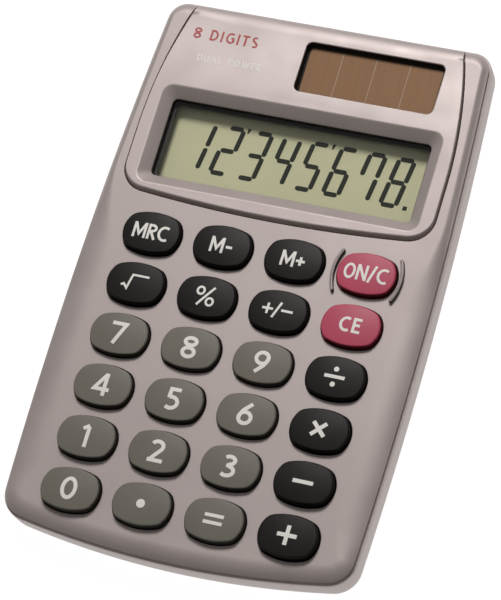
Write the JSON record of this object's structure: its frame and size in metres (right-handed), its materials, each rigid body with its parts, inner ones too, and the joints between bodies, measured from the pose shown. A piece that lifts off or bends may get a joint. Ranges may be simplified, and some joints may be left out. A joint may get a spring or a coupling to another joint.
{
  "type": "pocket calculator",
  "caption": "Pocket calculator with a raised display panel, an LCD, a solar cell, sprung keys in a grid and a two-part case.",
  "frame": {"origin": "middle of the flat back, on the surface the calculator lies on", "axes": "+Z out of the keys, +Y towards the display end, +X to the user's right"},
  "size_m": [0.071, 0.1104, 0.0098],
  "materials": {
    "cover_silver": "satin metallic-effect paint",
    "panel_silver": "satin metallic-effect paint",
    "rear_silver": "fine matt texture",
    "clear_window": "clear polished acrylic",
    "black_plastic": "matt black",
    "polariser": "clear film",
    "lcd_glass": "polished",
    "reflector": "pearl reflector film",
    "zebra_rubber": "silicone",
    "solar_glass": "amorphous silicon behind glass",
    "foam": "closed-cell foam",
    "wire_red": "PVC",
    "wire_black": "PVC",
    "silicone": "silicone",
    "board": "solder mask over laminate",
    "epoxy": "epoxy",
    "capacitor_sleeve": "shrink sleeve",
    "ceramic_chip": "ceramic",
    "cell_steel": "nickel-plated steel",
    "contact_metal": "plated spring brass",
    "screw_steel": "zinc-plated",
    "screw_dark": "blackened",
    "key_black": "satin",
    "key_grey": "satin",
    "key_red": "satin"
  },
  "bodies": {
    "case": {"front_cover": "cover_silver", "display_panel": "panel_silver", "rear_cover": "rear_silver", "display_window": "clear_window", "lcd_frame": "black_plastic", "lcd_front_polariser": "polariser", "lcd_front_glass": "lcd_glass", "lcd_rear_glass": "lcd_glass", "lcd_reflector": "reflector", "zebra_strip": "zebra_rubber", "solar_cell": "solar_glass", "solar_foam": "foam", "solar_wire_red": "wire_red", "solar_wire_black": "wire_black", "dome_sheet": "silicone", "circuit_board": "board", "chip_blob": "epoxy", "storage_capacitor": "capacitor_sleeve", "chip_components": "ceramic_chip", "button_cell": "cell_steel", "cell_contact_plus": "contact_metal", "cell_contact_minus": "contact_metal", "board_screws": "screw_steel", "case_screws": "screw_dark"},
    "key_mrc": {"key_mrc": "key_black"},
    "key_m_minus": {"key_m_minus": "key_black"},
    "key_m_plus": {"key_m_plus": "key_black"},
    "key_on_c": {"key_on_c": "key_red"},
    "key_root": {"key_root": "key_black"},
    "key_percent": {"key_percent": "key_black"},
    "key_sign": {"key_sign": "key_black"},
    "key_ce": {"key_ce": "key_red"},
    "key_7": {"key_7": "key_grey"},
    "key_8": {"key_8": "key_grey"},
    "key_9": {"key_9": "key_grey"},
    "key_divide": {"key_divide": "key_black"},
    "key_4": {"key_4": "key_grey"},
    "key_5": {"key_5": "key_grey"},
    "key_6": {"key_6": "key_grey"},
    "key_multiply": {"key_multiply": "key_black"},
    "key_1": {"key_1": "key_grey"},
    "key_2": {"key_2": "key_grey"},
    "key_3": {"key_3": "key_grey"},
    "key_minus": {"key_minus": "key_black"},
    "key_0": {"key_0": "key_grey"},
    "key_point": {"key_point": "key_grey"},
    "key_equals": {"key_equals": "key_grey"},
    "key_plus": {"key_plus": "key_black"}
  },
  "joints": [
    {"name": "press_mrc", "type": "slide", "parent": "case", "child": "key_mrc", "axis": [0, 0, 1], "range_m": [-0.0009, 0], "stiffness_N_per_m": 1000, "springref_m": 0.0003, "deforming": ["dome_sheet"]},
    {"name": "press_m_minus", "type": "slide", "parent": "case", "child": "key_m_minus", "axis": [0, 0, 1], "range_m": [-0.0009, 0], "stiffness_N_per_m": 1000, "springref_m": 0.0003, "deforming": ["dome_sheet"]},
    {"name": "press_m_plus", "type": "slide", "parent": "case", "child": "key_m_plus", "axis": [0, 0, 1], "range_m": [-0.0009, 0], "stiffness_N_per_m": 1000, "springref_m": 0.0003, "deforming": ["dome_sheet"]},
    {"name": "press_on_c", "type": "slide", "parent": "case", "child": "key_on_c", "axis": [0, 0, 1], "range_m": [-0.0009, 0], "stiffness_N_per_m": 1000, "springref_m": 0.0003, "deforming": ["dome_sheet"]},
    {"name": "press_root", "type": "slide", "parent": "case", "child": "key_root", "axis": [0, 0, 1], "range_m": [-0.0009, 0], "stiffness_N_per_m": 1000, "springref_m": 0.0003, "deforming": ["dome_sheet"]},
    {"name": "press_percent", "type": "slide", "parent": "case", "child": "key_percent", "axis": [0, 0, 1], "range_m": [-0.0009, 0], "stiffness_N_per_m": 1000, "springref_m": 0.0003, "deforming": ["dome_sheet"]},
    {"name": "press_sign", "type": "slide", "parent": "case", "child": "key_sign", "axis": [0, 0, 1], "range_m": [-0.0009, 0], "stiffness_N_per_m": 1000, "springref_m": 0.0003, "deforming": ["dome_sheet"]},
    {"name": "press_ce", "type": "slide", "parent": "case", "child": "key_ce", "axis": [0, 0, 1], "range_m": [-0.0009, 0], "stiffness_N_per_m": 1000, "springref_m": 0.0003, "deforming": ["dome_sheet"]},
    {"name": "press_7", "type": "slide", "parent": "case", "child": "key_7", "axis": [0, 0, 1], "range_m": [-0.0009, 0], "stiffness_N_per_m": 1000, "springref_m": 0.0003, "deforming": ["dome_sheet"]},
    {"name": "press_8", "type": "slide", "parent": "case", "child": "key_8", "axis": [0, 0, 1], "range_m": [-0.0009, 0], "stiffness_N_per_m": 1000, "springref_m": 0.0003, "deforming": ["dome_sheet"]},
    {"name": "press_9", "type": "slide", "parent": "case", "child": "key_9", "axis": [0, 0, 1], "range_m": [-0.0009, 0], "stiffness_N_per_m": 1000, "springref_m": 0.0003, "deforming": ["dome_sheet"]},
    {"name": "press_divide", "type": "slide", "parent": "case", "child": "key_divide", "axis": [0, 0, 1], "range_m": [-0.0009, 0], "stiffness_N_per_m": 1000, "springref_m": 0.0003, "deforming": ["dome_sheet"]},
    {"name": "press_4", "type": "slide", "parent": "case", "child": "key_4", "axis": [0, 0, 1], "range_m": [-0.0009, 0], "stiffness_N_per_m": 1000, "springref_m": 0.0003, "deforming": ["dome_sheet"]},
    {"name": "press_5", "type": "slide", "parent": "case", "child": "key_5", "axis": [0, 0, 1], "range_m": [-0.0009, 0], "stiffness_N_per_m": 1000, "springref_m": 0.0003, "deforming": ["dome_sheet"]},
    {"name": "press_6", "type": "slide", "parent": "case", "child": "key_6", "axis": [0, 0, 1], "range_m": [-0.0009, 0], "stiffness_N_per_m": 1000, "springref_m": 0.0003, "deforming": ["dome_sheet"]},
    {"name": "press_multiply", "type": "slide", "parent": "case", "child": "key_multiply", "axis": [0, 0, 1], "range_m": [-0.0009, 0], "stiffness_N_per_m": 1000, "springref_m": 0.0003, "deforming": ["dome_sheet"]},
    {"name": "press_1", "type": "slide", "parent": "case", "child": "key_1", "axis": [0, 0, 1], "range_m": [-0.0009, 0], "stiffness_N_per_m": 1000, "springref_m": 0.0003, "deforming": ["dome_sheet"]},
    {"name": "press_2", "type": "slide", "parent": "case", "child": "key_2", "axis": [0, 0, 1], "range_m": [-0.0009, 0], "stiffness_N_per_m": 1000, "springref_m": 0.0003, "deforming": ["dome_sheet"]},
    {"name": "press_3", "type": "slide", "parent": "case", "child": "key_3", "axis": [0, 0, 1], "range_m": [-0.0009, 0], "stiffness_N_per_m": 1000, "springref_m": 0.0003, "deforming": ["dome_sheet"]},
    {"name": "press_minus", "type": "slide", "parent": "case", "child": "key_minus", "axis": [0, 0, 1], "range_m": [-0.0009, 0], "stiffness_N_per_m": 1000, "springref_m": 0.0003, "deforming": ["dome_sheet"]},
    {"name": "press_0", "type": "slide", "parent": "case", "child": "key_0", "axis": [0, 0, 1], "range_m": [-0.0009, 0], "stiffness_N_per_m": 1000, "springref_m": 0.0003, "deforming": ["dome_sheet"]},
    {"name": "press_point", "type": "slide", "parent": "case", "child": "key_point", "axis": [0, 0, 1], "range_m": [-0.0009, 0], "stiffness_N_per_m": 1000, "springref_m": 0.0003, "deforming": ["dome_sheet"]},
    {"name": "press_equals", "type": "slide", "parent": "case", "child": "key_equals", "axis": [0, 0, 1], "range_m": [-0.0009, 0], "stiffness_N_per_m": 1000, "springref_m": 0.0003, "deforming": ["dome_sheet"]},
    {"name": "press_plus", "type": "slide", "parent": "case", "child": "key_plus", "axis": [0, 0, 1], "range_m": [-0.0009, 0], "stiffness_N_per_m": 1000, "springref_m": 0.0003, "deforming": ["dome_sheet"]}
  ]
}
